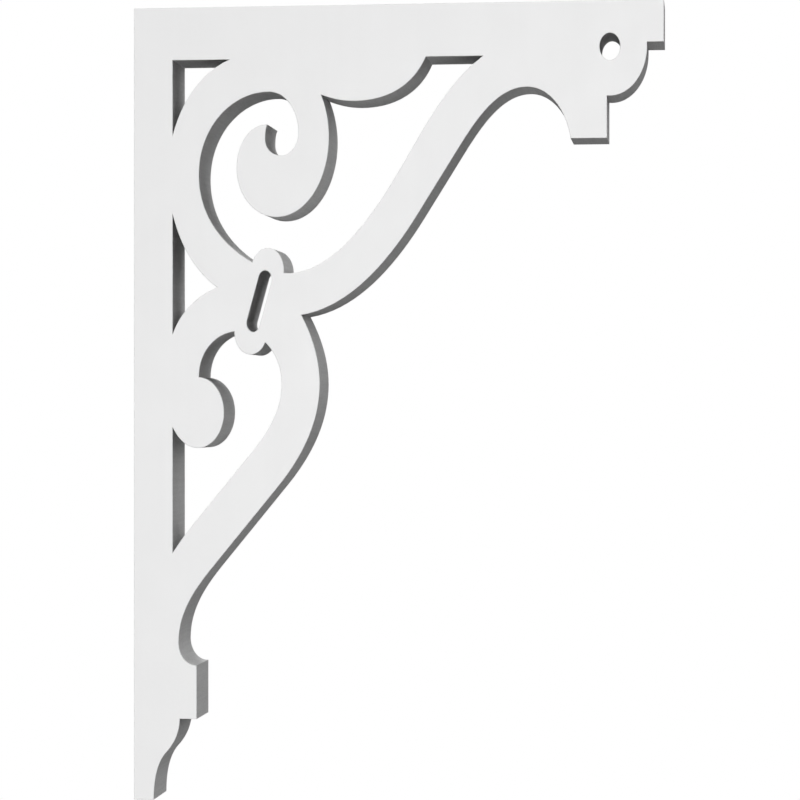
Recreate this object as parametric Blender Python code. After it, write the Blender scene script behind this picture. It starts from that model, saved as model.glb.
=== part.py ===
# Scrolled bracket for a porch or an eave, cut in one piece from a thick board of white cellular PVC.
# The back edge of its leg is fixed to the wall, and its top edge meets the beam or the soffit.
# Lengths are in metres. X points out from the wall, Z points up, and Y runs through the board.
# The origin is the middle of the wall face.

import math

import bmesh
import bpy
from mathutils import Vector
from mathutils.geometry import delaunay_2d_cdt

# Board
HEIGHT = 0.6096
REACH = 0.4064
THICKNESS = 0.0508

# The scrollwork is drawn with round arcs and then stretched upward, so each round is an upright ellipse.
# A radius below is a half width, and the half height is STRETCH times as much.
STRETCH = 4 / 3

# Headings are in degrees, anticlockwise from straight out, before the stretch.
OUTWARD, UPWARD, WALLWARD, DOWNWARD = 0, 90, 180, 270

# Straight members, the leg along the wall and the rail under the beam
LEG_WIDTH = 0.0302
RAIL_DEPTH = 0.0405

# Places marked OUT are measured from the leg's edge, and places marked BELOW from the rail's underside.

# Tie: a leaning strap with a slot and round ends, the knobs, where all the scrolls meet
TIE_OUT = 0.0674
TIE_BELOW = 0.1856
TIE_LEAN = math.radians(15.3)
TIE_HALF_HEIGHT = 0.0240
KNOB_RADIUS = 0.01265
SLOT_HALF_HEIGHT = 0.0167
SLOT_RADIUS = 0.0051
# Notches on both sides of the tie, where the upper and the lower scroll part
NOTCH_HALF_SPAN = 0.0327
NOTCH_FALL = 0.0108

# Headings at which the scrolls leave the notches and the knobs
RING_FROM_NOTCH = 152
RING_FROM_KNOB = 163
SCROLL_FROM_NOTCH = 197
SCROLL_FROM_KNOB = 168
UPPER_BRACE_FROM_NOTCH = 7
UPPER_BRACE_FROM_KNOB = -15
LOWER_BRACE_FROM_NOTCH = -55
LOWER_BRACE_FROM_KNOB = -17

# Ring scroll, which ends in a curl that hangs from the rail
RING_OUT = 0.0748
RING_BELOW = 0.0885
RING_RADIUS = 0.0542
RING_BAND = 0.0241
# Its turning points, in ring radii across and up from the centre: those of the band outside the ring,
# of the space inside it, and of the curl from the cusp to the tip
BAND_SIDE_UP = 0.02
BAND_TOP = (-0.19, 1.28)
SPACE_TOP = (0.0, 0.876)
SPACE_SIDE = (0.423, 0.442)
SPACE_FOOT = (0.179, 0.200)
SPACE_BACK = (-0.050, 0.372)
CUSP = (0.748, 0.838)
CURL_SIDE = (0.860, 0.388)
CURL_FOOT = (0.111, -0.453)
CURL_BACK = (-0.460, 0.074)
CURL_TIP = (-0.018, 0.529)
CURL_FROM_CUSP = -62
CURL_TO_TIP = -3
SPACE_TO_TIP = 58

# Lobe of the rail beyond the curl
LOBE_LENGTH = 0.0805
LOBE_DEPTH = 0.0331
LOBE_LOWEST = 0.0258
LOBE_FROM_RAIL = -120
LOBE_TO_CUSP = 163

# Lower scroll, which ends in a ball against the leg
BALL_OUT = 0.0197
BALL_BELOW = 0.2710
BALL_RADIUS = 0.0204
# How far below its centre the ball meets the leg, and its heading there
BALL_MEETS_LEG = 0.0110
BALL_TO_LEG = 120
SCROLL_LANDS = 0.0009
# Side of the left gap, as shares of the way from the tie to where the band lands on the ball
GAP_SIDE = (1.503, 0.751)

# Upper lobe of the brace. Its straight run is set by shares of the way from the notch to the arch.
UPPER_BRACE_WIDTH = 0.0268
UPPER_RUN_START = (0.520, 0.446)
UPPER_RUN_END = (0.692, 0.722)
UPPER_BRACE_TO_RAIL = 28
ARCH_TO_BLOCK = -79

# Lower lobe of the brace. Its straight run is set by shares of the way from the bow to the foot.
LOWER_BRACE_WIDTH = 0.0284
BOW_WIDTH = 0.0295
BOW_OUT = 0.1143
BOW_BELOW = 0.2490
LOWER_RUN_START = (0.297, 0.398)
LOWER_RUN_END = (0.731, 0.690)
# Inside, the lobe turns towards the leg by these angles, from the run to the leg and at the leg
ROOT_TURN = 8
ROOT_END_TURN = 16

# Outer end: arch, block, quarter round with an eye hole, and nose
NOSE_REACH = 0.0126
NOSE_DEPTH = 0.0318
END_RADIUS = 0.0280
END_DROP = 0.0348
EYE_RADIUS = 0.0077
BLOCK_SETBACK = 0.0022
BLOCK_WIDTH = 0.0275
BLOCK_DROP = 0.1040
ARCH_HALF_WIDTH = 0.0332
ARCH_DROP = 0.0645

# Foot: cove, block and ogee tip
FOOT_BLOCK_OUT = 0.0188
FOOT_BLOCK_HEIGHT = 0.0413
COVE_RADIUS = 0.0131
COVE_LIP = 0.0010
TIP_HEIGHT = 0.0625
TIP_SETBACK = 0.0131
TIP_WIDTH = 0.0155
OGEE_MIDDLE = (0.51, 0.41)
OGEE_START = -92
OGEE_SLOPE = -141

# Largest turn between neighbouring points of a curve, and the distance below which points are one
STEP_TURN = math.radians(5)
SAME_POINT = 1e-6
# Corners that turn less than the first are dropped, and edges sharper than the second are creases
FLAT_TURN = math.radians(0.5)
CREASE = math.radians(30)

WHITE = (0.84, 0.84, 0.83, 1.0)
ROUGHNESS = 0.45


def at(x, drop):
    # The point x out from the wall and drop below the top edge
    return Vector((x, HEIGHT / 2 - drop))


def inside_corner(out, below):
    # The point out from the leg's edge and below the rail's underside
    return at(LEG_WIDTH + out, RAIL_DEPTH + below)


def stretched(x, rise):
    # An offset on the round pattern, carried to the tall bracket
    return Vector((x, rise * STRETCH))


def polar(radius, angle):
    # An offset of that length and direction on the round pattern
    return stretched(radius * math.cos(angle), radius * math.sin(angle))


def heading(start, end):
    # Direction from start to end on the round pattern, anticlockwise from straight out
    return math.atan2((end.y - start.y) / STRETCH, end.x - start.x)


def turn_between(first, second):
    # The smaller angle between two directions
    return abs((second - first + math.pi) % math.tau - math.pi)


def bend(start, start_heading, end, end_heading):
    # Points after start of the cubic that leaves and arrives by the two headings. Its handles are as long
    # as those of a circular arc with that chord and turn, so an even bend comes out round.
    span = math.hypot(end.x - start.x, (end.y - start.y) / STRETCH)
    turn = turn_between(start_heading, end_heading)
    handle = span / 3 if turn < STEP_TURN else span * 2 / 3 * math.tan(turn / 4) / math.sin(turn / 2)
    leave = start + polar(handle, start_heading)
    arrive = end - polar(handle, end_heading)
    chord = heading(start, end)
    bending = turn_between(start_heading, chord) + turn_between(chord, end_heading)
    steps = max(1, math.ceil(bending / STEP_TURN))
    points = []
    for step in range(1, steps + 1):
        t = step / steps
        s = 1 - t
        points.append(s**3 * start + 3 * s * s * t * leave + 3 * s * t * t * arrive + t**3 * end)
    return points


def edge(*knots):
    # A smooth edge through knots. A knot is a point and its heading in degrees.
    points = [knots[0][0]]
    for (start, leaving), (end, arriving) in zip(knots, knots[1:]):
        points += bend(start, math.radians(leaving), end, math.radians(arriving))
    return points


def straight(start, end):
    # The two knots of a straight run
    along = math.degrees(heading(start, end))
    return (start, along), (end, along)


def beside(point, direction, width):
    # The point at a distance to the left of a direction in degrees
    return point + polar(width, math.radians(direction + 90))


def part_way(start, end, shares):
    # The point at the shares, across and down, of the way from start to end
    out, down = shares
    return Vector((start.x + (end.x - start.x) * out, start.y + (end.y - start.y) * down))


def rectangle(first, second):
    return [first, Vector((second.x, first.y)), second, Vector((first.x, second.y))]


def arc(centre, radius, first, last):
    # Points round a centre from one angle to another
    steps = math.ceil(abs(last - first) / STEP_TURN)
    return [centre + polar(radius, first + (last - first) * i / steps) for i in range(steps + 1)]


def disc(centre, radius):
    return arc(centre, radius, 0, math.tau)[:-1]


def strap(centre, half_height, radius):
    # A strap with round ends that leans as the tie does
    half = Vector((half_height * math.tan(TIE_LEAN), half_height))
    upward = heading(centre, centre + half)
    top = arc(centre + half, radius, upward - math.pi / 2, upward + math.pi / 2)
    bottom = arc(centre - half, radius, upward + math.pi / 2, upward + math.pi * 1.5)
    return top + bottom


# Points that more than one member uses
tie = inside_corner(TIE_OUT, TIE_BELOW)
knob_offset = Vector((TIE_HALF_HEIGHT * math.tan(TIE_LEAN), TIE_HALF_HEIGHT))
top_knob = tie + knob_offset
bottom_knob = tie - knob_offset
outer_notch = tie + Vector((NOTCH_HALF_SPAN, -NOTCH_FALL))
inner_notch = tie - Vector((NOTCH_HALF_SPAN, -NOTCH_FALL))
ring = inside_corner(RING_OUT, RING_BELOW)
ball_centre = inside_corner(BALL_OUT, BALL_BELOW)
end_centre = at(REACH - NOSE_REACH - END_RADIUS, END_DROP)
block_bottom = HEIGHT - TIP_HEIGHT
foot_block_reach = LEG_WIDTH + FOOT_BLOCK_OUT


def on_ring(across, up):
    # A point of the ring scroll, in ring radii from the ring's centre
    return ring + stretched(across * RING_RADIUS, up * RING_RADIUS)


cusp = on_ring(*CUSP)


def leg():
    return rectangle(at(0, 0), at(LEG_WIDTH, block_bottom))


def rail():
    return rectangle(at(0, 0), at(end_centre.x, RAIL_DEPTH))


def nose():
    return rectangle(at(end_centre.x, 0), at(REACH, NOSE_DEPTH))


def ring_scroll():
    # The band runs up from the tie round the ring, and back in on itself to the curl's tip
    tip = on_ring(*CURL_TIP)
    outside = edge(
        (inner_notch, RING_FROM_NOTCH),
        (on_ring(-1 - RING_BAND / RING_RADIUS, BAND_SIDE_UP), UPWARD),
        (on_ring(*BAND_TOP), OUTWARD),
    )
    curl = edge(
        (cusp, CURL_FROM_CUSP),
        (on_ring(*CURL_SIDE), DOWNWARD),
        (on_ring(*CURL_FOOT), WALLWARD),
        (on_ring(*CURL_BACK), UPWARD),
        (tip, CURL_TO_TIP),
    )
    inside = edge(
        (top_knob, RING_FROM_KNOB),
        (on_ring(-1, 0), UPWARD),
        (on_ring(*SPACE_TOP), OUTWARD),
        (on_ring(*SPACE_SIDE), DOWNWARD),
        (on_ring(*SPACE_FOOT), WALLWARD),
        (on_ring(*SPACE_BACK), UPWARD),
        (tip, SPACE_TO_TIP),
    )
    return [tie, *outside, at(cusp.x, RAIL_DEPTH / 2), *curl, *reversed(inside)]


def lobe():
    # The bellied underside of the rail, from the curl's cusp to its own far corner
    far = at(cusp.x + LOBE_LENGTH, RAIL_DEPTH)
    lowest = at(cusp.x + LOBE_LOWEST, RAIL_DEPTH + LOBE_DEPTH)
    belly = edge((far, LOBE_FROM_RAIL), (lowest, WALLWARD), (cusp, LOBE_TO_CUSP))
    return [*belly, at(cusp.x, RAIL_DEPTH / 2), at(far.x, RAIL_DEPTH / 2)]


def lower_scroll():
    # The band runs down from the tie, over the left gap and onto the ball's crown
    crown = ball_centre + stretched(SCROLL_LANDS, BALL_RADIUS)
    outside = edge((inner_notch, SCROLL_FROM_NOTCH), (part_way(tie, crown, GAP_SIDE), DOWNWARD))
    inside = edge((bottom_knob, SCROLL_FROM_KNOB), (crown, DOWNWARD))
    behind = Vector((LEG_WIDTH / 2, ball_centre.y))
    return [tie, *outside, Vector((behind.x, outside[-1].y)), behind, ball_centre, *reversed(inside)]


def ball():
    # Round on its outer side, and fuller below, where it meets the leg
    outer = arc(ball_centre, BALL_RADIUS, -math.pi / 2, math.pi / 2)
    meeting = Vector((LEG_WIDTH, ball_centre.y - BALL_MEETS_LEG))
    underside = edge((outer[0], WALLWARD), (meeting, BALL_TO_LEG))
    behind = [Vector((LEG_WIDTH / 2, ball_centre.y)), Vector((LEG_WIDTH / 2, meeting.y))]
    return [*outer, *behind, *reversed(underside[1:])]


def upper_brace():
    # The brace's upper lobe with the arch and the block that it springs from
    block_right = end_centre.x - BLOCK_SETBACK
    block_left = block_right - BLOCK_WIDTH
    crown = at(block_left - ARCH_HALF_WIDTH, ARCH_DROP)
    run_start = part_way(outer_notch, crown, UPPER_RUN_START)
    run_end = part_way(outer_notch, crown, UPPER_RUN_END)
    run = straight(run_start, run_end)
    run_heading = run[0][1]
    underside = edge(
        (outer_notch, UPPER_BRACE_FROM_NOTCH),
        *run,
        (crown, OUTWARD),
        (at(block_left, BLOCK_DROP), ARCH_TO_BLOCK),
    )
    top = edge(
        (top_knob, UPPER_BRACE_FROM_KNOB),
        (beside(run_start, run_heading, UPPER_BRACE_WIDTH), run_heading),
        (at(crown.x - ARCH_HALF_WIDTH, RAIL_DEPTH), UPPER_BRACE_TO_RAIL),
    )
    block = [at(block_right, BLOCK_DROP), at(block_right, RAIL_DEPTH / 2), at(crown.x, RAIL_DEPTH / 2)]
    return [tie, *underside, *block, *reversed(top)]


def lower_brace():
    # The brace's lower lobe down to the cove above the foot block
    bow = inside_corner(BOW_OUT, BOW_BELOW)
    block_top = block_bottom - FOOT_BLOCK_HEIGHT
    cove_end = at(foot_block_reach - COVE_LIP, block_top)
    waist = cove_end + stretched(-COVE_RADIUS, COVE_RADIUS)
    run_start = part_way(bow, waist, LOWER_RUN_START)
    run_end = part_way(bow, waist, LOWER_RUN_END)
    run = straight(run_start, run_end)
    run_heading = run[0][1]
    outside = edge(
        (outer_notch, LOWER_BRACE_FROM_NOTCH),
        (bow, DOWNWARD),
        *run,
        (waist, DOWNWARD),
        (cove_end, OUTWARD),
    )
    inner_start = beside(run_start, run_heading, -LOWER_BRACE_WIDTH)
    inner_end = beside(run_end, run_heading, -LOWER_BRACE_WIDTH)
    steeper = math.radians(run_heading + ROOT_TURN)
    into_leg = inner_end + polar((LEG_WIDTH / 2 - inner_end.x) / math.cos(steeper), steeper)
    inside = edge(
        (bottom_knob, LOWER_BRACE_FROM_KNOB),
        (bow - Vector((BOW_WIDTH, 0)), DOWNWARD),
        (inner_start, run_heading),
        (inner_end, run_heading),
        (into_leg, run_heading + ROOT_END_TURN),
    )
    return [tie, *outside, Vector((into_leg.x, cove_end.y)), *reversed(inside)]


def end_round():
    # The quarter round under the nose. Its inner half lies within the block.
    left, right = end_centre.x - END_RADIUS, end_centre.x + END_RADIUS
    return [*arc(end_centre, END_RADIUS, -math.pi, 0), at(right, NOSE_DEPTH / 2), at(left, NOSE_DEPTH / 2)]


def foot():
    # The block, and the ogee that draws in to the tip
    block_top = block_bottom - FOOT_BLOCK_HEIGHT
    shoulder = at(foot_block_reach - TIP_SETBACK, block_bottom)
    tip = at(TIP_WIDTH, HEIGHT)
    middle = part_way(shoulder, tip, OGEE_MIDDLE)
    ogee = edge((shoulder, OGEE_START), (middle, OGEE_SLOPE), (tip, DOWNWARD))
    block = [at(0, block_top), at(foot_block_reach, block_top), at(foot_block_reach, block_bottom)]
    return [*block, *ogee, at(0, HEIGHT)]


def anticlockwise(outline):
    area = sum(a.cross(b) for a, b in zip(outline, [*outline[1:], outline[0]]))
    return outline if area > 0 else outline[::-1]


def flat_board(solids, cuts):
    # Triangles inside any solid outline and outside every cut, as points and index triples
    points, faces = [], []
    for outline in [*solids, *cuts]:
        faces.append(list(range(len(points), len(points) + len(outline))))
        points += anticlockwise(outline)
    points, _, triangles, _, _, sources = delaunay_2d_cdt(points, [], faces, 0, SAME_POINT, True)
    kept = [t for t, source in zip(triangles, sources) if source and max(source) < len(solids)]
    return points, kept


def extruded(name, points, triangles, thickness):
    # A closed plate with both faces square to Y, centred on the XZ plane
    shape = bmesh.new()
    front = [shape.verts.new((p.x, -thickness / 2, p.y)) for p in points]
    for triangle in triangles:
        shape.faces.new([front[i] for i in triangle])
    loose = [vertex for vertex in shape.verts if not vertex.link_faces]
    bmesh.ops.delete(shape, geom=loose, context="VERTS")
    bmesh.ops.dissolve_limit(shape, angle_limit=FLAT_TURN, verts=shape.verts, edges=shape.edges)
    bmesh.ops.triangulate(shape, faces=shape.faces)
    extrusion = bmesh.ops.extrude_face_region(shape, geom=shape.faces[:])
    back = [item for item in extrusion["geom"] if isinstance(item, bmesh.types.BMVert)]
    bmesh.ops.translate(shape, verts=back, vec=(0, thickness, 0))
    bmesh.ops.recalc_face_normals(shape, faces=shape.faces)
    mesh = bpy.data.meshes.new(name)
    shape.to_mesh(mesh)
    shape.free()
    mesh.shade_smooth()
    mesh.set_sharp_from_angle(angle=CREASE)
    return mesh


def white_pvc():
    material = bpy.data.materials.new("white cellular PVC")
    material.use_nodes = True
    shader = material.node_tree.nodes["Principled BSDF"]
    shader.inputs["Base Color"].default_value = WHITE
    shader.inputs["Roughness"].default_value = ROUGHNESS
    shader.inputs["Metallic"].default_value = 0
    return material


for leftover in list(bpy.data.objects):
    bpy.data.objects.remove(leftover)

members = [
    leg(),
    rail(),
    nose(),
    strap(tie, TIE_HALF_HEIGHT, KNOB_RADIUS),
    ring_scroll(),
    lobe(),
    lower_scroll(),
    ball(),
    upper_brace(),
    lower_brace(),
    end_round(),
    foot(),
]
openings = [
    strap(tie, SLOT_HALF_HEIGHT, SLOT_RADIUS),
    disc(end_centre, EYE_RADIUS),
]
board_points, board_triangles = flat_board(members, openings)
bracket = bpy.data.objects.new("bracket", extruded("bracket", board_points, board_triangles, THICKNESS))
bracket.data.materials.append(white_pvc())
bpy.context.scene.collection.objects.link(bracket)
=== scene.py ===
import math

import bpy
import numpy as np
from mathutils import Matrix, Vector
from mathutils.geometry import delaunay_2d_cdt


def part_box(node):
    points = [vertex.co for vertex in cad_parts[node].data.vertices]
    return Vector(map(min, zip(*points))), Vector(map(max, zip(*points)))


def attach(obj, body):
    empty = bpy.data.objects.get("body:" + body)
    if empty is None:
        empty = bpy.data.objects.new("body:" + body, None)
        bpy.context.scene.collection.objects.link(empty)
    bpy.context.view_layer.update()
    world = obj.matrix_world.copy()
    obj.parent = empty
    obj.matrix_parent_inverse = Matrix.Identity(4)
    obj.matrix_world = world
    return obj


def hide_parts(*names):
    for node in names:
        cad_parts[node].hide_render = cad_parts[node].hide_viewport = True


# Scrolled bracket for a porch or an eave, cut from one thick board of white cellular PVC.
# Metres. X points out from the wall, Z points up and Y runs through the board.
# The origin is the middle of the wall face, and the face that is seen looks towards -Y.

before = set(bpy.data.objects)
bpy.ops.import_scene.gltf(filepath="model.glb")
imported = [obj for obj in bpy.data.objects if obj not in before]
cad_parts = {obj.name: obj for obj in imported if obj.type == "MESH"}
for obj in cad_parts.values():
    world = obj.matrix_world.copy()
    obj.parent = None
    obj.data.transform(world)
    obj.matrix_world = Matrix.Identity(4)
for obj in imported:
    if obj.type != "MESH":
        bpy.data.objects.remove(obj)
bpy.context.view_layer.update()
boardLow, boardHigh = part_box("bracket")
topZ = boardHigh.z
reach = boardHigh.x
height = boardHigh.z - boardLow.z
thickness = boardHigh.y - boardLow.y
millimetres = tuple(length * 1000 for length in (reach, thickness, height))
print("frame: %d node, %.1f x %.1f x %.1f mm" % (len(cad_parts), *millimetres))

# Drawing helpers

drawing = {
    "stretch": 4 / 3,  # the scrollwork is round on the pattern and drawn out upward by this
    "stepTurn": 2.5,  # degrees between neighbouring points of a curve
    "flatTurn": 0.09,  # radians; a bend that turns less is taken as straight
    "samePoint": 2e-5,  # metres; points nearer than this are one
}
outward, upward, wallward, downward = 0, 90, 180, 270  # headings, in degrees on the round pattern


def at(out, drop):
    # The point that far out from the wall and below the top edge
    return np.array([out, topZ - drop])


def polar(radius, degrees):
    # Radius times the cosine and the sine of the angle, the second stretched upward
    turn = np.radians(degrees)
    return radius * np.stack([np.cos(turn), drawing["stretch"] * np.sin(turn)], axis=-1)


def ellipse(centre, radius, first, last):
    # Even steps of angle from first to last round the centre, each a polar offset
    steps = math.ceil(abs(last - first) / drawing["stepTurn"])
    return centre + polar(radius, np.linspace(first, last, steps + 1))


def headingOf(start, end):
    # Arc tangent of the rise, taken back to the round pattern, over the run
    run, rise = end - start
    return math.degrees(math.atan2(rise / drawing["stretch"], run))


def turnBetween(first, second):
    # The smaller angle between two headings
    return abs((second - first + 180) % 360 - 180)


def bend(start, leaving, end, arriving):
    # Cubic Bezier from start to end, without its first point. Each handle is, as on a circular arc,
    # 2/3 tan(turn / 4) / sin(turn / 2) of the chord, or a third of the chord when it hardly turns.
    run, rise = end - start
    span = math.hypot(run, rise / drawing["stretch"])
    turn = math.radians(turnBetween(leaving, arriving))
    flat = turn < drawing["flatTurn"]
    handle = span / 3 if flat else span * 2 / 3 * math.tan(turn / 4) / math.sin(turn / 2)
    leave = start + polar(handle, leaving)
    arrive = end - polar(handle, arriving)
    chord = headingOf(start, end)
    turning = turnBetween(leaving, chord) + turnBetween(chord, arriving)
    steps = max(1, math.ceil(turning / drawing["stepTurn"]))
    t = np.linspace(0, 1, steps + 1)[1:, None]
    s = 1 - t
    return s**3 * start + 3 * s**2 * t * leave + 3 * s * t**2 * arrive + t**3 * end


def edge(*knots):
    # Bends one after the other through knots, each a point and the heading there
    runs = [bend(*first, *second) for first, second in zip(knots, knots[1:])]
    return np.vstack([knots[0][0][None], *runs])


def straight(start, end):
    # The two knots of a straight run, both headed along it
    along = headingOf(start, end)
    return (start, along), (end, along)


def partWay(start, end, shares):
    # Start plus the shares, across and down, of the way to the end
    return start + (end - start) * np.array(shares)


def box(first, second):
    # The four corners of an upright rectangle
    return np.array([first, [second[0], first[1]], second, [first[0], second[1]]])


# The members of the bracket, each a closed outline that laps its neighbours. Lengths are in metres, and
# headings in degrees on the round pattern.

straights = {"legWidth": 0.0302, "railDepth": 0.0405}

tieSize = {
    "out": 0.0674,  # from the leg's edge
    "below": 0.1856,  # from the rail's underside
    "lean": 15.3,
    "halfHeight": 0.0240,
    "knobRadius": 0.01265,
    "slotHalfHeight": 0.0167,
    "slotRadius": 0.0051,
    "notchHalfSpan": 0.0327,
    "notchFall": 0.0108,
}

ringSize = {
    "out": 0.0748,
    "below": 0.0885,
    "radius": 0.0542,
    "band": 0.0241,
    "fromNotch": 152,
    "fromKnob": 163,
    # Turning points in ring radii across and up from the centre, of the band's outside, of the space inside
    # it and of the curl
    "bandSideUp": 0.02,
    "bandTop": (-0.19, 1.28),
    "spaceTop": (0.0, 0.876),
    "spaceSide": (0.423, 0.442),
    "spaceFoot": (0.179, 0.200),
    "spaceBack": (-0.050, 0.372),
    "spaceToTip": 58,
    "cusp": (0.748, 0.838),
    "curlFromCusp": -62,
    "curlSide": (0.860, 0.388),
    "curlFoot": (0.111, -0.453),
    "curlBack": (-0.460, 0.074),
    "curlTip": (-0.018, 0.529),
    "curlToTip": -3,
}

lobeSize = {"length": 0.0805, "depth": 0.0331, "lowest": 0.0258, "fromRail": -120, "toCusp": 163}

ballSize = {
    "out": 0.0197,
    "below": 0.2710,
    "radius": 0.0204,
    "meetsLeg": 0.0110,  # below the ball's centre
    "toLeg": 120,
    "fromNotch": 197,
    "gapSide": (1.503, 0.751),  # shares of the way from the tie to the ball's crown
    "fromKnob": 168,
    "scrollLands": 0.0009,
}

endSize = {
    "noseReach": 0.0126,
    "noseDepth": 0.0318,
    "radius": 0.0280,
    "drop": 0.0348,
    "eyeRadius": 0.0077,
    "blockSetback": 0.0022,
    "blockWidth": 0.0275,
    "blockDrop": 0.1040,
    "archHalfWidth": 0.0332,
    "archDrop": 0.0645,
    "archToBlock": -79,
}

braceSize = {
    "upperFromNotch": 7,
    "upperFromKnob": -15,
    "upperWidth": 0.0268,
    "upperRun": ((0.520, 0.446), (0.692, 0.722)),  # shares of the way from the notch to the arch
    "upperToRail": 28,
    "lowerFromNotch": -55,
    "lowerFromKnob": -17,
    "lowerWidth": 0.0284,
    "lowerRun": ((0.297, 0.398), (0.731, 0.690)),  # shares of the way from the bow to the foot
    "bowWidth": 0.0295,
    "bowOut": 0.1143,
    "bowBelow": 0.2490,
    "rootTurn": (8, 16),
}

footSize = {
    "blockOut": 0.0188,
    "blockHeight": 0.0413,
    "coveRadius": 0.0131,
    "coveLip": 0.0010,
    "tipHeight": 0.0625,
    "tipSetback": 0.0131,
    "tipWidth": 0.0155,
    "ogeeStart": -92,
    "ogeeMiddle": (0.51, 0.41),
    "ogeeSlope": -141,
}


def insideCorner(out, below):
    # The point out from the leg's edge and below the rail's underside
    return at(straights["legWidth"] + out, straights["railDepth"] + below)


tie = insideCorner(tieSize["out"], tieSize["below"])
leaning = np.array([math.tan(math.radians(tieSize["lean"])), 1.0])
topKnob = tie + leaning * tieSize["halfHeight"]
bottomKnob = tie - leaning * tieSize["halfHeight"]
notchOffset = np.array([tieSize["notchHalfSpan"], -tieSize["notchFall"]])
outerNotch = tie + notchOffset
innerNotch = tie - notchOffset
ringCentre = insideCorner(ringSize["out"], ringSize["below"])
endCentre = at(reach - endSize["noseReach"] - endSize["radius"], endSize["drop"])
ballCentre = insideCorner(ballSize["out"], ballSize["below"])
blockBottom = height - footSize["tipHeight"]
blockTop = blockBottom - footSize["blockHeight"]
blockReach = straights["legWidth"] + footSize["blockOut"]
midRail = topZ - straights["railDepth"] / 2
midLeg = straights["legWidth"] / 2


def onRing(shares):
    # Ring centre plus the shares of its half width and half height
    return ringCentre + np.array(shares) * ringSize["radius"] * np.array([1, drawing["stretch"]])


cusp = onRing(ringSize["cusp"])


def strap(halfHeight, radius):
    # Two half ellipses above and below the tie's middle, joined by straight sides that lean with it
    half = leaning * halfHeight
    lean = headingOf(tie, tie + half)
    top = ellipse(tie + half, radius, lean - 90, lean + 90)
    bottom = ellipse(tie - half, radius, lean + 90, lean + 270)
    return np.vstack([top, bottom])


def ringScroll():
    # The band runs up from the tie round the ring, and back in on itself to the curl's tip
    tip = onRing(ringSize["curlTip"])
    bandSide = onRing((-1 - ringSize["band"] / ringSize["radius"], ringSize["bandSideUp"]))
    outside = edge(
        (innerNotch, ringSize["fromNotch"]),
        (bandSide, upward),
        (onRing(ringSize["bandTop"]), outward),
    )
    curl = edge(
        (cusp, ringSize["curlFromCusp"]),
        (onRing(ringSize["curlSide"]), downward),
        (onRing(ringSize["curlFoot"]), wallward),
        (onRing(ringSize["curlBack"]), upward),
        (tip, ringSize["curlToTip"]),
    )
    inside = edge(
        (topKnob, ringSize["fromKnob"]),
        (onRing((-1, 0)), upward),
        (onRing(ringSize["spaceTop"]), outward),
        (onRing(ringSize["spaceSide"]), downward),
        (onRing(ringSize["spaceFoot"]), wallward),
        (onRing(ringSize["spaceBack"]), upward),
        (tip, ringSize["spaceToTip"]),
    )
    return np.vstack([tie, outside, (cusp[0], midRail), curl, inside[::-1]])


def railLobe():
    # The bellied underside of the rail, from the curl's cusp to its own far corner
    underRail = straights["railDepth"]
    far = at(cusp[0] + lobeSize["length"], underRail)
    lowest = at(cusp[0] + lobeSize["lowest"], underRail + lobeSize["depth"])
    belly = edge((far, lobeSize["fromRail"]), (lowest, wallward), (cusp, lobeSize["toCusp"]))
    return np.vstack([belly, (cusp[0], midRail), (far[0], midRail)])


def lowerScroll():
    # The band runs down from the tie, over the left gap and onto the ball's crown
    crown = ballCentre + np.array([ballSize["scrollLands"], ballSize["radius"] * drawing["stretch"]])
    gapSide = partWay(tie, crown, ballSize["gapSide"])
    outside = edge((innerNotch, ballSize["fromNotch"]), (gapSide, downward))
    inside = edge((bottomKnob, ballSize["fromKnob"]), (crown, downward))
    behind = [(midLeg, outside[-1][1]), (midLeg, ballCentre[1])]
    return np.vstack([tie, outside, *behind, ballCentre, inside[::-1]])


def ball():
    # Half an ellipse on its outer side, and one bend below it to where the ball meets the leg
    outer = ellipse(ballCentre, ballSize["radius"], -90, 90)
    meeting = np.array([straights["legWidth"], ballCentre[1] - ballSize["meetsLeg"]])
    underside = edge((outer[0], wallward), (meeting, ballSize["toLeg"]))
    behind = [(midLeg, ballCentre[1]), (midLeg, meeting[1])]
    return np.vstack([outer, *behind, underside[:0:-1]])


def beside(point, heading, width):
    # The point moved to the left of the heading
    return point + polar(width, heading + 90)


def upperBrace():
    # The brace's upper lobe with the arch and the block that it springs from
    blockRight = endCentre[0] - endSize["blockSetback"]
    blockLeft = blockRight - endSize["blockWidth"]
    crown = at(blockLeft - endSize["archHalfWidth"], endSize["archDrop"])
    first, last = (partWay(outerNotch, crown, shares) for shares in braceSize["upperRun"])
    run = straight(first, last)
    along = run[0][1]
    underside = edge(
        (outerNotch, braceSize["upperFromNotch"]),
        *run,
        (crown, outward),
        (at(blockLeft, endSize["blockDrop"]), endSize["archToBlock"]),
    )
    meetsRail = at(crown[0] - endSize["archHalfWidth"], straights["railDepth"])
    top = edge(
        (topKnob, braceSize["upperFromKnob"]),
        (beside(first, along, braceSize["upperWidth"]), along),
        (meetsRail, braceSize["upperToRail"]),
    )
    block = [at(blockRight, endSize["blockDrop"]), (blockRight, midRail), (crown[0], midRail)]
    return np.vstack([tie, underside, *block, top[::-1]])


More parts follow.
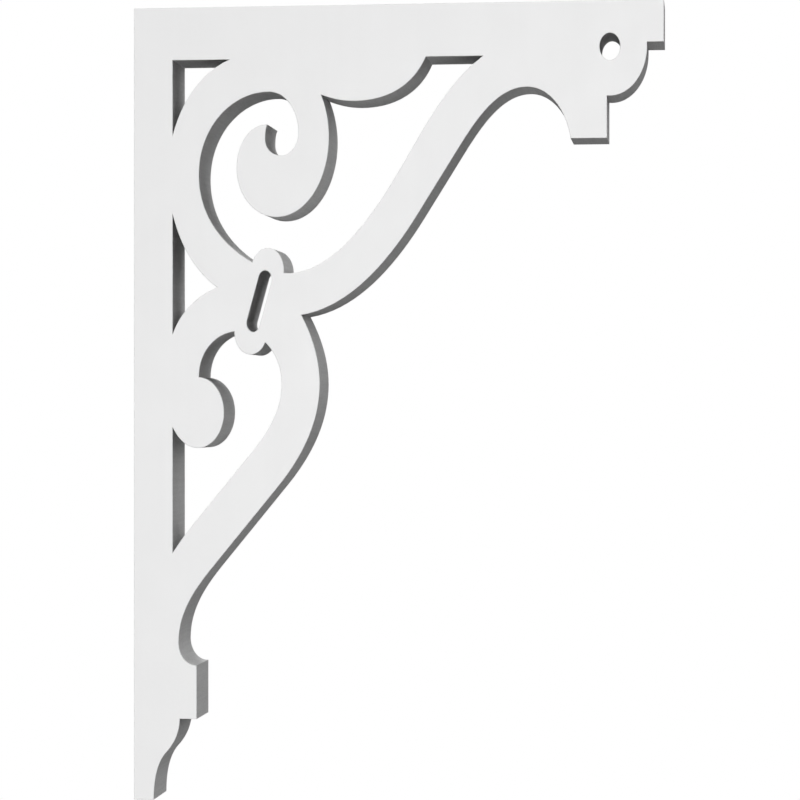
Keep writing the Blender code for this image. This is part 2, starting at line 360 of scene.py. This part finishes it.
def lowerBrace():
    # The brace's lower lobe down to the cove above the foot block
    bow = insideCorner(braceSize["bowOut"], braceSize["bowBelow"])
    coveEnd = at(blockReach - footSize["coveLip"], blockTop)
    waist = coveEnd + np.array([-1, drawing["stretch"]]) * footSize["coveRadius"]
    first, last = (partWay(bow, waist, shares) for shares in braceSize["lowerRun"])
    run = straight(first, last)
    along = run[0][1]
    outside = edge(
        (outerNotch, braceSize["lowerFromNotch"]),
        (bow, downward),
        *run,
        (waist, downward),
        (coveEnd, outward),
    )
    innerFirst, innerLast = (beside(point, along, -braceSize["lowerWidth"]) for point in (first, last))
    steeper, atLeg = (along + turn for turn in braceSize["rootTurn"])
    intoLeg = innerLast + polar((midLeg - innerLast[0]) / math.cos(math.radians(steeper)), steeper)
    inside = edge(
        (bottomKnob, braceSize["lowerFromKnob"]),
        (bow - np.array([braceSize["bowWidth"], 0]), downward),
        (innerFirst, along),
        (innerLast, along),
        (intoLeg, atLeg),
    )
    return np.vstack([tie, outside, (intoLeg[0], coveEnd[1]), inside[::-1]])


def endRound():
    # Lower half ellipse under the nose, carried up into it
    left, right = endCentre[0] - endSize["radius"], endCentre[0] + endSize["radius"]
    inNose = topZ - endSize["noseDepth"] / 2
    return np.vstack([ellipse(endCentre, endSize["radius"], -180, 0), (right, inNose), (left, inNose)])


def foot():
    # The block, and the ogee that draws in to the tip
    shoulder = at(blockReach - footSize["tipSetback"], blockBottom)
    tip = at(footSize["tipWidth"], height)
    middle = partWay(shoulder, tip, footSize["ogeeMiddle"])
    ogee = edge((shoulder, footSize["ogeeStart"]), (middle, footSize["ogeeSlope"]), (tip, downward))
    block = [at(0, blockTop), at(blockReach, blockTop), at(blockReach, blockBottom)]
    return np.vstack([*block, ogee, at(0, height)])


members = [
    box(at(0, 0), at(straights["legWidth"], blockBottom)),
    box(at(0, 0), at(endCentre[0], straights["railDepth"])),
    box(at(endCentre[0], 0), at(reach, endSize["noseDepth"])),
    strap(tieSize["halfHeight"], tieSize["knobRadius"]),
    ringScroll(),
    railLobe(),
    lowerScroll(),
    ball(),
    upperBrace(),
    lowerBrace(),
    endRound(),
    foot(),
]
cuts = [
    strap(tieSize["slotHalfHeight"], tieSize["slotRadius"]),
    ellipse(endCentre, endSize["eyeRadius"], 0, 360)[:-1],
]
print("drawn: %d members and %d cuts" % (len(members), len(cuts)))

# The board, from the outline of all members together

boardEdge = {
    "arris": 0.0004,  # the routed edge is eased to this radius with sandpaper
    "arrisSteps": 4,
    "longestMitre": 2.0,  # in sharp crotches, times the inset
    "leastOpening": 1e-3,  # keeps the mitre finite where a side doubles back on the one before
    "creaseTurn": 22.0,  # degrees; edges that turn more stay crisp
    "samePoint": 1e-7,  # metres, in the finished outline
}


def anticlockwise(outline):
    # Turned round where the sum of cross products of neighbouring points is negative
    after = np.roll(outline, -1, axis=0)
    area = np.sum(outline[:, 0] * after[:, 1] - outline[:, 1] * after[:, 0])
    return outline if area > 0 else outline[::-1]


def sawnOutline(solids, holes):
    # Every triangle of the drawing that lies in a member and in no cut is board. The outline is the sides
    # that only one such triangle has. Gives the points, and for each side the point it leaves and reaches.
    outlines = [anticlockwise(outline) for outline in [*solids, *holes]]
    ends = np.cumsum([0] + [len(outline) for outline in outlines])
    loops = [list(range(first, last)) for first, last in zip(ends, ends[1:])]
    places = [Vector(place) for place in np.vstack(outlines).tolist()]
    points, _, triangles, _, _, sources = delaunay_2d_cdt(places, [], loops, 0, drawing["samePoint"], True)
    inBoard = [bool(source) and max(source) < len(solids) for source in sources]
    triangles = np.array(triangles)[inBoard]
    sides = np.vstack([triangles[:, [0, 1]], triangles[:, [1, 2]], triangles[:, [2, 0]]])
    size = len(points)
    single = ~np.isin(sides[:, 0] * size + sides[:, 1], sides[:, 1] * size + sides[:, 0])
    used, renumbered = np.unique(sides[single], return_inverse=True)
    return np.array([tuple(point) for point in points])[used], renumbered.reshape(-1, 2)


def sideNormals(points, sides):
    # Each side's direction turned a quarter clockwise, which is outwards, at unit length. Gives it for the
    # sides that arrive at each point and that leave it.
    along = points[sides[:, 1]] - points[sides[:, 0]]
    along /= np.linalg.norm(along, axis=1, keepdims=True)
    normal = np.stack([along[:, 1], -along[:, 0]], axis=1)
    before, after = np.empty_like(points), np.empty_like(points)
    before[sides[:, 1]] = normal
    after[sides[:, 0]] = normal
    return before, after


def mitres(before, after):
    # The sum of two normals over one plus their dot product is how far the corner moves for each side to move
    # by one. Sharp crotches are held to a limit.
    alike = np.sum(before * after, axis=1, keepdims=True)
    mitre = (before + after) / np.maximum(1 + alike, boardEdge["leastOpening"])
    length = np.linalg.norm(mitre, axis=1, keepdims=True)
    return mitre * np.minimum(1, boardEdge["longestMitre"] / length)


def insideLoops(places, points, sides):
    # Odd number of sides crossed by a line that goes out from the place along X
    start, end = points[sides[:, 0]], points[sides[:, 1]]
    x, z = places[:, :1], places[:, 1:]
    spans = (start[:, 1] > z) != (end[:, 1] > z)
    rise = np.where(end[:, 1] == start[:, 1], 1, end[:, 1] - start[:, 1])
    crossing = start[:, 0] + (z - start[:, 1]) * (end[:, 0] - start[:, 0]) / rise
    return np.sum(spans & (crossing > x), axis=1) % 2 == 1


def faceTriangles(points, sides):
    # The triangles between the loops of sides that have their middle inside
    places = [Vector(place) for place in points.tolist()]
    pairs = [tuple(side) for side in sides.tolist()]
    triangles = np.array(delaunay_2d_cdt(places, pairs, [], 0, boardEdge["samePoint"], False)[2])
    return triangles[insideLoops(points[triangles].mean(axis=1), points, sides)]


def boardMesh(name, outline, sides):
    # One profile is carried along every outline. At tilt a, from 0 at the face to 90 degrees at the wall, its
    # inset is r (1 - sin a) and its depth r (1 - cos a), and the same again behind.
    tilt = np.radians(np.linspace(0, 90, boardEdge["arrisSteps"] + 1))
    inset = boardEdge["arris"] * (1 - np.sin(tilt))
    depth = boardEdge["arris"] * (1 - np.cos(tilt)) - thickness / 2
    inset, depth = np.append(inset, inset[::-1]), np.append(depth, -depth[::-1])
    outShare = np.append(np.sin(tilt), np.sin(tilt[::-1]))
    throughShare = np.append(-np.cos(tilt), np.cos(tilt[::-1]))
    rings, count = len(inset), len(outline)
    before, after = sideNormals(outline, sides)
    mitre = mitres(before, after)
    grid = outline[None] - mitre[None] * inset[:, None, None]
    vertices = np.stack([grid[..., 0], depth[:, None].repeat(count, axis=1), grid[..., 1]], axis=-1)

    leaves, reaches = sides.T
    ring = np.arange(rings - 1)[:, None] * count
    walls = np.stack([ring + leaves, ring + count + leaves, ring + count + reaches, ring + reaches], axis=-1)
    walls = walls.reshape(-1, 4)
    front = faceTriangles(outline - mitre * boardEdge["arris"], sides)
    faces = np.vstack([front, front[:, ::-1] + (rings - 1) * count])

    # Normals: the mean of both sides' along a curve, and each side's own at a crease
    smooth = before + after
    smooth /= np.linalg.norm(smooth, axis=1, keepdims=True)
    creased = np.sum(before * after, axis=1, keepdims=True) < math.cos(math.radians(boardEdge["creaseTurn"]))
    atStart = np.where(creased, after, smooth)[leaves]
    atEnd = np.where(creased, before, smooth)[reaches]
    corners = np.stack([atStart, atStart, atEnd, atEnd], axis=1)[None]
    ringOfCorner = np.arange(rings - 1)[:, None] + np.array([0, 1, 1, 0])
    wallNormals = np.empty((rings - 1, len(sides), 4, 3))
    wallNormals[..., [0, 2]] = corners * outShare[ringOfCorner][:, None, :, None]
    wallNormals[..., 1] = throughShare[ringOfCorner][:, None]
    frontNormals = np.tile([0.0, -1.0, 0.0], (front.size, 1))

    mesh = bpy.data.meshes.new(name)
    mesh.vertices.add(rings * count)
    mesh.vertices.foreach_set("co", vertices.ravel())
    mesh.loops.add(walls.size + faces.size)
    mesh.loops.foreach_set("vertex_index", np.append(walls.ravel(), faces.ravel()))
    mesh.polygons.add(len(walls) + len(faces))
    corners = np.repeat([4, 3], [len(walls), len(faces)])
    mesh.polygons.foreach_set("loop_start", np.cumsum(corners) - corners)
    mesh.polygons.foreach_set("material_index", np.repeat([1, 0], [len(walls), len(faces)]))
    mesh.update(calc_edges=True)
    mesh.validate()
    mesh.normals_split_custom_set(np.vstack([wallNormals.reshape(-1, 3), frontNormals, -frontNormals]))
    return mesh


boardOutline, boardSides = sawnOutline(members, cuts)
print("outline: %d points" % len(boardOutline))
bracketBoard = bpy.data.objects.new("bracketBoard", boardMesh("bracketBoard", boardOutline, boardSides))
bpy.context.scene.collection.objects.link(bracketBoard)
print("board: %d faces" % len(bracketBoard.data.polygons))

# Materials


def linear(colour):
    # sRGB hex to linear: c / 12.92 below 0.04045, else ((c + 0.055) / 1.055) to the power 2.4
    levels = np.array([int(colour[i : i + 2], 16) for i in (1, 3, 5)]) / 255
    curved = ((levels + 0.055) / 1.055) ** 2.4
    return (*np.where(levels <= 0.04045, levels / 12.92, curved), 1.0)


def addNode(tree, kind, inputs=None, links=None, **settings):
    # One node with its settings. Inputs go by socket name or number, and so do links, each from a node's
    # first output or from (node, output).
    node = tree.nodes.new(kind)
    for name, value in settings.items():
        setattr(node, name, value)
    for socket, value in (inputs or {}).items():
        node.inputs[socket].default_value = value
    for socket, source in (links or {}).items():
        start, output = source if isinstance(source, tuple) else (source, 0)
        tree.links.new(start.outputs[output], node.inputs[socket])
    return node


def emptyMaterial(name):
    # A node material with nothing in it yet
    material = bpy.data.materials.new(name)
    material.use_nodes = True
    material.node_tree.nodes.clear()
    return material


skinLook = {
    "colour": "#f3f3f3",
    "ior": 1.53,
    "roughness": (0.42, 0.50),
    "patch": 25,  # mm, of the gloss
    "drift": 85,  # mm, of the shade
    "driftShade": 0.015,
    "dieLine": 7,  # mm between the faint lines that the die draws along the sheet
    "dieLineLength": 400,
    "dieLineShade": 0.008,
    "peel": 2.6,  # mm; real orange peel is about 0.6 mm across, too fine to show, so it is drawn coarser
    "peelDetail": 1,
    "peelHeight": 0.035,  # mm
}


def sheetSkin():
    # Cellular PVC sheet, white through and through, calendered between polished rolls. The eye sees an even
    # satin white, with a soft sheen that breaks up a little on the orange peel and a shade that hardly
    # drifts.
    material = emptyMaterial("cellular PVC, calendered skin")
    tree = material.node_tree
    where = addNode(tree, "ShaderNodeTexCoord")
    place = (where, "Object")
    squeeze = (1, 1, skinLook["dieLine"] / skinLook["dieLineLength"])
    along = addNode(tree, "ShaderNodeMapping", {"Scale": squeeze}, {"Vector": place})
    drift = addNode(tree, "ShaderNodeTexNoise", {"Scale": 1000 / skinLook["drift"]}, {"Vector": place})
    dieLine = addNode(tree, "ShaderNodeTexNoise", {"Scale": 1000 / skinLook["dieLine"]}, {"Vector": along})
    patch = addNode(tree, "ShaderNodeTexNoise", {"Scale": 1000 / skinLook["patch"]}, {"Vector": place})
    peelScale = {"Scale": 1000 / skinLook["peel"], "Detail": skinLook["peelDetail"]}
    peel = addNode(tree, "ShaderNodeTexNoise", peelScale, {"Vector": place})
    driftRange = {"To Min": 1 - skinLook["driftShade"], "To Max": 1 + skinLook["driftShade"]}
    lineRange = {"To Min": 1 - skinLook["dieLineShade"], "To Max": 1 + skinLook["dieLineShade"]}
    driftShade = addNode(tree, "ShaderNodeMapRange", driftRange, {"Value": drift})
    lineShade = addNode(tree, "ShaderNodeMapRange", lineRange, {"Value": dieLine})
    shade = addNode(tree, "ShaderNodeMath", links={0: driftShade, 1: lineShade}, operation="MULTIPLY")
    white = {0: linear(skinLook["colour"])[:3]}
    colour = addNode(tree, "ShaderNodeVectorMath", white, {"Scale": shade}, operation="SCALE")
    low, high = skinLook["roughness"]
    roughness = addNode(tree, "ShaderNodeMapRange", {"To Min": low, "To Max": high}, {"Value": patch})
    bump = addNode(tree, "ShaderNodeBump", {"Distance": skinLook["peelHeight"] / 1000}, {"Height": peel})
    links = {"Base Color": colour, "Roughness": roughness, "Normal": bump}
    shader = addNode(tree, "ShaderNodeBsdfPrincipled", {"IOR": skinLook["ior"]}, links)
    addNode(tree, "ShaderNodeOutputMaterial", links={"Surface": shader})
    return material


edgeLook = {
    # Both whites are darker than the face, partly because the routed cut is duller and drier, partly as
    # painted shade on the walls and in the recesses
    "coreColourWithPaintedShade": "#d6d6d6",
    "skinColourWithPaintedShade": "#e6e6e6",
    "ior": 1.53,
    "roughness": (0.58, 0.70),
    "skinDepth": 1.2,  # mm of denser plastic under each face
    "skinBlend": 0.2,  # mm to either side of that depth
    "drift": 16,  # mm, of the shade
    "driftShade": 0.05,
    "cutter": 2.2,  # mm between the cutter's marks; real ones are about 0.3 mm apart, too fine to show
    "cutterLength": 60,  # mm, so that each runs right through the board
    "cutterHeight": 0.16,  # mm
    # bands along the cutter marks are lighter and darker by this share, partly the tone of burnished and torn
    # bands, partly painted light and shade of the ridges
    "cutterMarkLightAndShade": 0.11,
    "cell": 1.4,  # mm; the real closed cells are 0.1 to 0.3 mm, so these are drawn coarser
    "pit": (0.15, 0.40),  # floor and rim of a pit, as shares of its cell
    # painted shade: the colour in each cut-open cell is darkened by this share, besides its dent
    "pitPaintedShade": 0.20,
    "cellDepth": 0.12,  # mm
}


def routedEdge():
    # The same sheet where a router has cut it. Its white is darker than the face's, partly because the cut is
    # duller and drier, partly as painted shade on the walls and in the recesses. It has fine marks of the
    # cutter straight through the thickness, lighter and darker partly by painted light and shade, a peppering
    # of cut-open cells darkened as painted shade, and a denser line under each face.
    material = emptyMaterial("cellular PVC, routed edge")
    tree = material.node_tree
    where = addNode(tree, "ShaderNodeTexCoord")
    place = (where, "Object")
    squeeze = (1, edgeLook["cutter"] / edgeLook["cutterLength"], 1)
    through = addNode(tree, "ShaderNodeMapping", {"Scale": squeeze}, {"Vector": place})
    cutter = addNode(tree, "ShaderNodeTexNoise", {"Scale": 1000 / edgeLook["cutter"]}, {"Vector": through})
    drift = addNode(tree, "ShaderNodeTexNoise", {"Scale": 1000 / edgeLook["drift"]}, {"Vector": place})
    cell = addNode(tree, "ShaderNodeTexVoronoi", {"Scale": 1000 / edgeLook["cell"]}, {"Vector": place})

    # The core is what lies deeper than the skin, by the distance from the board's middle plane
    axes = addNode(tree, "ShaderNodeSeparateXYZ", links={"Vector": place})
    offMiddle = addNode(tree, "ShaderNodeMath", links={0: (axes, "Y")}, operation="ABSOLUTE")
    skinStart = thickness / 2 - edgeLook["skinDepth"] / 1000
    blend = edgeLook["skinBlend"] / 1000
    coreRange = {"From Min": skinStart - blend, "From Max": skinStart + blend, "To Min": 1, "To Max": 0}
    core = addNode(tree, "ShaderNodeMapRange", coreRange, {"Value": offMiddle})

    pitFloor, pitRim = edgeLook["pit"]
    pitRange = {"From Min": pitFloor, "From Max": pitRim, "To Min": 1, "To Max": 0}
    roundPit = addNode(tree, "ShaderNodeMapRange", pitRange, {"Value": cell})
    pit = addNode(tree, "ShaderNodeMath", links={0: roundPit, 1: core}, operation="MULTIPLY")
    driftRange = {"To Min": 1 - edgeLook["driftShade"], "To Max": 1 + edgeLook["driftShade"]}
    driftShade = addNode(tree, "ShaderNodeMapRange", driftRange, {"Value": drift})
    # Bands along the cutter marks, lighter and darker partly as painted light and shade of the ridges
    markRange = {"To Min": 1 - edgeLook["cutterMarkLightAndShade"], "To Max": 1 + edgeLook["cutterMarkLightAndShade"]}
    markLightAndShade = addNode(tree, "ShaderNodeMapRange", markRange, {"Value": cutter})
    marked = addNode(tree, "ShaderNodeMath", links={0: driftShade, 1: markLightAndShade}, operation="MULTIPLY")
    # Painted shade darkens the cut-open cells; the drift and the cutter marks scale the rest
    paintedPitShade = {1: -edgeLook["pitPaintedShade"]}
    shade = addNode(tree, "ShaderNodeMath", paintedPitShade, {0: pit, 2: marked}, operation="MULTIPLY_ADD")
    whites = {6: linear(edgeLook["skinColourWithPaintedShade"]), 7: linear(edgeLook["coreColourWithPaintedShade"])}
    white = addNode(tree, "ShaderNodeMix", whites, {0: core}, data_type="RGBA")
    tinted = {0: (white, 2), "Scale": shade}
    colour = addNode(tree, "ShaderNodeVectorMath", links=tinted, operation="SCALE")
    low, high = edgeLook["roughness"]
    roughness = addNode(tree, "ShaderNodeMapRange", {"To Min": low, "To Max": high}, {"Value": cutter})
    marks = addNode(tree, "ShaderNodeBump", {"Distance": edgeLook["cutterHeight"] / 1000}, {"Height": cutter})
    pitted = {"Height": pit, "Normal": marks}
    bump = addNode(tree, "ShaderNodeBump", {"Distance": edgeLook["cellDepth"] / 1000}, pitted, invert=True)
    links = {"Base Color": colour, "Roughness": roughness, "Normal": bump}
    shader = addNode(tree, "ShaderNodeBsdfPrincipled", {"IOR": edgeLook["ior"]}, links)
    addNode(tree, "ShaderNodeOutputMaterial", links={"Surface": shader})
    return material


bracketBoard.data.materials.append(sheetSkin())
bracketBoard.data.materials.append(routedEdge())
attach(bracketBoard, "root")
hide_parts("bracket")
print("finished: skin and routed edge")

# Camera

view = {
    "place": (0.44328, -2.13784, -0.00558),
    "turn": 6.661,  # degrees to the left of straight on
    "lens": 125.54,
    "shift": (0.0158, 0.0139),
}

camera = bpy.data.cameras.new("camera")
camera.lens = view["lens"]
camera.shift_x, camera.shift_y = view["shift"]
cameraObject = bpy.data.objects.new("camera", camera)
cameraObject.location = view["place"]
cameraObject.rotation_euler = (math.radians(90), 0, math.radians(view["turn"]))
bpy.context.scene.collection.objects.link(cameraObject)
bpy.context.scene.camera = cameraObject

# Studio: a white sweep with a pale floor under the bracket, and soft lamps far away

studio = {
    "floorDrop": 0.25,  # below the bracket's tip
    "floorRadius": 1.6,
    "floorSides": 96,
    "floorFade": 0.7,  # from here on the floor turns into the white of the sweep
    "floorColour": "#f0f0f0",
    "floorBounce": 0.08,  # share of light that it gives back to the bracket, as if part of it were flagged
    "domeStart": 0.6,  # height on the sky, as a sine, from which the overhead light grows
    "domeStrength": 0.20,
}
lamps = {
    # degrees round from the seen face towards +X, degrees up, width in degrees, strength
    "key": (0, 0, 6, 1.93),
    "overLeft": (-60, 60, 50, 1.58),
    "overRight": (90, 60, 50, 0.74),
    "right": (75, 25, 40, 0.30),
    "behindRight": (125, 20, 50, 0.62),
    "behindLeft": (-150, 35, 30, 1.60),
    "under": (0, -80, 50, 0.54),
}


def addLamp(name, around, up, width, strength):
    # A far lamp. It stands towards sin(around) cos(up), -cos(around) cos(up), sin(up).
    lamp = bpy.data.lights.new(name, "SUN")
    lamp.energy = strength
    lamp.angle = math.radians(width)
    around, up = math.radians(around), math.radians(up)
    towards = Vector((math.sin(around) * math.cos(up), -math.cos(around) * math.cos(up), math.sin(up)))
    lampObject = bpy.data.objects.new(name, lamp)
    lampObject.rotation_euler = towards.to_track_quat("Z", "Y").to_euler()
    bpy.context.scene.collection.objects.link(lampObject)


def paperFloor():
    # Matt white paper. Up from below it is clear, and towards its rim it takes the white of the sweep.
    material = emptyMaterial("matt paper floor")
    tree = material.node_tree
    where = addNode(tree, "ShaderNodeTexCoord")
    fromMiddle = addNode(tree, "ShaderNodeVectorMath", links={0: (where, "Object")}, operation="LENGTH")
    fade = {"From Min": studio["floorFade"], "From Max": studio["floorRadius"]}
    away = {"Value": (fromMiddle, "Value")}
    rim = addNode(tree, "ShaderNodeMapRange", fade, away, interpolation_type="SMOOTHSTEP")
    white = linear(studio["floorColour"])
    seen = addNode(tree, "ShaderNodeBsdfDiffuse", {"Color": white})
    bounce = addNode(tree, "ShaderNodeBsdfDiffuse", {"Color": (*[studio["floorBounce"]] * 3, 1)})
    sweep = addNode(tree, "ShaderNodeEmission")
    ray = addNode(tree, "ShaderNodeLightPath")
    shown = addNode(tree, "ShaderNodeMixShader", links={0: rim, 1: seen, 2: sweep})
    surface = addNode(tree, "ShaderNodeMixShader", links={0: (ray, "Is Camera Ray"), 1: bounce, 2: shown})
    side = addNode(tree, "ShaderNodeNewGeometry")
    clear = addNode(tree, "ShaderNodeBsdfTransparent")
    oneSided = addNode(tree, "ShaderNodeMixShader", links={0: (side, "Backfacing"), 1: surface, 2: clear})
    addNode(tree, "ShaderNodeOutputMaterial", links={"Surface": oneSided})
    return material


def addFloor():
    # A round sheet: the cosine and the sine of even steps round the circle, times its radius
    turn = np.linspace(0, 2 * math.pi, studio["floorSides"], endpoint=False)
    rim = studio["floorRadius"] * np.stack([np.cos(turn), np.sin(turn), 0 * turn], axis=-1)
    mesh = bpy.data.meshes.new("floor")
    mesh.from_pydata(rim.tolist(), [], [list(range(len(rim)))])
    mesh.materials.append(paperFloor())
    floor = bpy.data.objects.new("floor", mesh)
    floor.location = (reach / 2, 0, boardLow.z - studio["floorDrop"])
    bpy.context.scene.collection.objects.link(floor)
    floor.visible_shadow = False  # the lamp from under it still reaches the bracket


def addSweep():
    # White to the camera. What lights the bracket is a soft dome overhead, as a softbox above the set would.
    world = bpy.data.worlds.new("sweep")
    bpy.context.scene.world = world
    world.use_nodes = True
    tree = world.node_tree
    tree.nodes.clear()
    where = addNode(tree, "ShaderNodeTexCoord")
    axes = addNode(tree, "ShaderNodeSeparateXYZ", links={"Vector": (where, "Generated")})
    rise = {"From Min": studio["domeStart"]}
    dome = addNode(tree, "ShaderNodeMapRange", rise, {"Value": (axes, "Z")}, interpolation_type="SMOOTHSTEP")
    overhead = addNode(tree, "ShaderNodeBackground", {"Strength": studio["domeStrength"]}, {"Color": dome})
    white = addNode(tree, "ShaderNodeBackground", {"Color": (1, 1, 1, 1)})
    ray = addNode(tree, "ShaderNodeLightPath")
    both = addNode(tree, "ShaderNodeMixShader", links={0: (ray, "Is Camera Ray"), 1: overhead, 2: white})
    addNode(tree, "ShaderNodeOutputWorld", links={"Surface": both})


for lampName, setting in lamps.items():
    addLamp(lampName, *setting)
addFloor()
addSweep()
bpy.context.scene.view_settings.view_transform = "Standard"
print("studio: %d lamps" % len(lamps))
